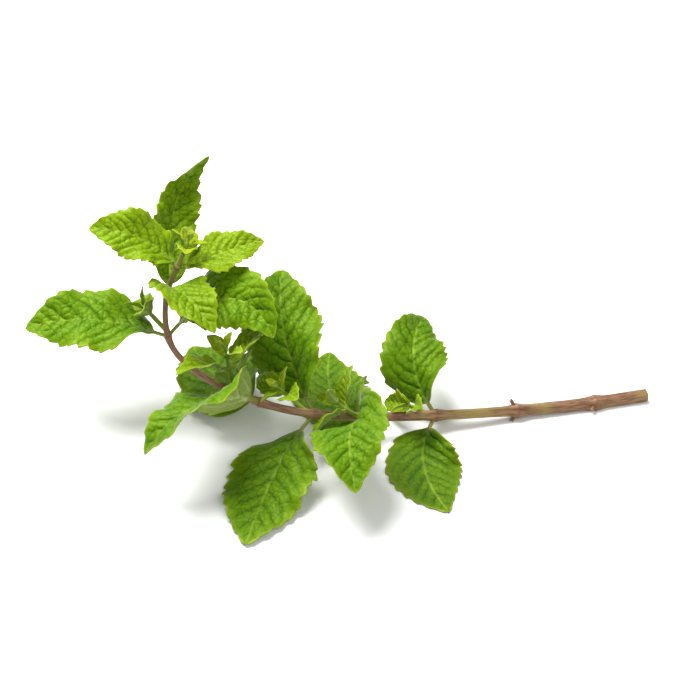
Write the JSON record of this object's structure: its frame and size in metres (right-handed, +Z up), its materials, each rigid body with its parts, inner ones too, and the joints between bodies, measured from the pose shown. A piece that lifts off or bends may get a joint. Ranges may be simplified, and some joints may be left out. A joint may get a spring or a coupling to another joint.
{
  "type": "mint sprig",
  "caption": "Cut sprig of mint lying on a surface: a square stem with a bare foot, opposite toothed leaves, small side shoots and an upturned growing tip.",
  "frame": {"origin": "on the table, at the middle of the flat spot under the stem's bare foot, 13 mm from the cut", "axes": "+Z up from the table that the sprig lies on; the stem grows towards -X, so +X points out of the cut foot; -Y is the side that faces the picture's camera"},
  "size_m": [0.2111, 0.1139, 0.0717],
  "materials": {
    "stem": "red-brown skin, greener near the tip",
    "leaf": "wrinkled matt green, paler below",
    "young_leaf": "yellow-green, soft and matt"
  },
  "bodies": {
    "root": {"stem": "stem", "leaf_3_back": "leaf", "leaf_3_front": "leaf", "leaf_4_back": "leaf", "leaf_4_front": "leaf", "leaf_5_back": "leaf", "leaf_5_front": "leaf", "leaf_6_back": "leaf", "leaf_6_front": "leaf", "leaf_7_left": "leaf", "leaf_7_right": "leaf", "leaf_8_back": "leaf", "leaf_8_front": "leaf", "leaf_9_left": "leaf", "leaf_9_right": "leaf", "shoot_3_back": "young_leaf", "shoot_4_front": "young_leaf", "shoot_5_back": "young_leaf", "shoot_6_front": "young_leaf", "shoot_6_back": "young_leaf", "shoot_7_left": "young_leaf", "growing_tip": "young_leaf"}
  },
  "joints": []
}
